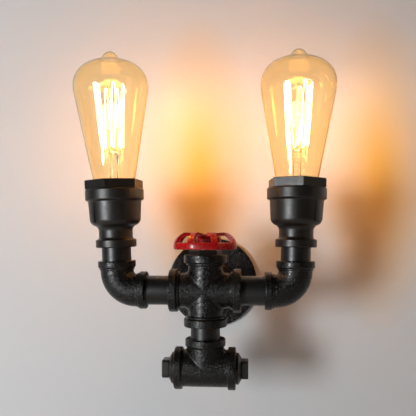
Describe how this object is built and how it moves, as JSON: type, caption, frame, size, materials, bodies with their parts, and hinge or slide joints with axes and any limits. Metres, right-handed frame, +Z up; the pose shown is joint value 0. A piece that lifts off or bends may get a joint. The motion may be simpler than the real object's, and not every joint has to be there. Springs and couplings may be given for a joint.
{
  "type": "industrial pipe wall light",
  "caption": "Wall light of black iron pipe fittings with upright teardrop filament lamps on upturned arms, a red valve handwheel and a plugged tee.",
  "frame": {"origin": "centre of the wall flange's screw circle, on the wall's surface", "axes": "+X to the right seen from the room, +Y into the wall, +Z up"},
  "size_m": [0.2235, 0.1322, 0.2886],
  "materials": {
    "black_iron": "matte black cast skin",
    "black_pipe": "satin black",
    "satin_iron": "satin black",
    "steel": "satin",
    "brass": "satin",
    "solder": "dull",
    "red_enamel": "gloss",
    "ceramic": "glazed",
    "black_glass": "gloss",
    "amber_glass": "clear amber",
    "clear_glass": "clear",
    "filament": "glowing",
    "support_wire": "satin",
    "wire": "satin",
    "earth_wire": "satin",
    "splice_cap": "satin"
  },
  "bodies": {
    "frame": {"arm_nipple_left": "black_pipe", "arm_nipple_right": "black_pipe", "centre_contact_left": "brass", "centre_contact_right": "brass", "cross_fitting": "black_iron", "drop_nipple": "black_pipe", "earth_lead": "earth_wire", "earth_screw": "brass", "earth_terminal": "brass", "elbow_left": "black_iron", "elbow_right": "black_iron", "handwheel_screw": "steel", "handwheel_stem": "steel", "handwheel_washer": "steel", "hex_bushing_left": "satin_iron", "hex_bushing_right": "satin_iron", "lamp_lead_left": "wire", "lamp_lead_right": "wire", "lampholder_body_left": "ceramic", "lampholder_body_right": "ceramic", "reducer_left": "satin_iron", "reducer_right": "satin_iron", "riser_nipple_left": "black_pipe", "riser_nipple_right": "black_pipe", "screw_shell_left": "brass", "screw_shell_right": "brass", "splice_caps": "splice_cap", "supply_lead": "wire", "tee_fitting": "black_iron", "tee_plug_left": "satin_iron", "tee_plug_right": "satin_iron", "terminal_screws_left": "brass", "terminal_screws_right": "brass", "top_plug": "satin_iron", "wall_flange": "black_iron", "wall_nipple": "black_pipe"},
    "wheel": {"handwheel": "red_enamel"},
    "left_lamp_contact": {"bulb_contact_left": "solder"},
    "left_lamp": {"bulb_cap_left": "brass", "bulb_filament_left": "filament", "bulb_glass_left": "amber_glass", "bulb_stem_left": "clear_glass", "cap_insulator_left": "black_glass", "filament_supports_left": "support_wire", "lead_in_wires_left": "support_wire"},
    "right_lamp_contact": {"bulb_contact_right": "solder"},
    "right_lamp": {"bulb_cap_right": "brass", "bulb_filament_right": "filament", "bulb_glass_right": "amber_glass", "bulb_stem_right": "clear_glass", "cap_insulator_right": "black_glass", "filament_supports_right": "support_wire", "lead_in_wires_right": "support_wire"}
  },
  "joints": [
    {"name": "handwheel_spin", "type": "hinge", "parent": "frame", "child": "wheel", "pos_m": [0, -0.095, 0.0421], "axis": [0, 0, 1], "continuous": true},
    {"name": "left_lamp_rise", "type": "slide", "parent": "frame", "child": "left_lamp_contact", "axis": [-0.0279, -0.0297, 0.9992], "range_m": [0, 0.01634]},
    {"name": "left_lamp_turn", "type": "hinge", "parent": "left_lamp_contact", "child": "left_lamp", "pos_m": [-0.07774, -0.09685, 0.06225], "axis": [-0.0279, -0.0297, 0.9992], "range_deg": [0, 1620]},
    {"name": "right_lamp_rise", "type": "slide", "parent": "frame", "child": "right_lamp_contact", "axis": [0.0157, 0, 0.9999], "range_m": [0, 0.01634]},
    {"name": "right_lamp_turn", "type": "hinge", "parent": "right_lamp_contact", "child": "right_lamp", "pos_m": [0.07698, -0.095, 0.06229], "axis": [0.0157, 0, 0.9999], "range_deg": [0, 1620]}
  ],
  "couplings": [
    {"joint": "left_lamp_rise", "follows": "left_lamp_turn", "m_per_rad": 0.00057757},
    {"joint": "right_lamp_rise", "follows": "right_lamp_turn", "m_per_rad": 0.00057757}
  ]
}
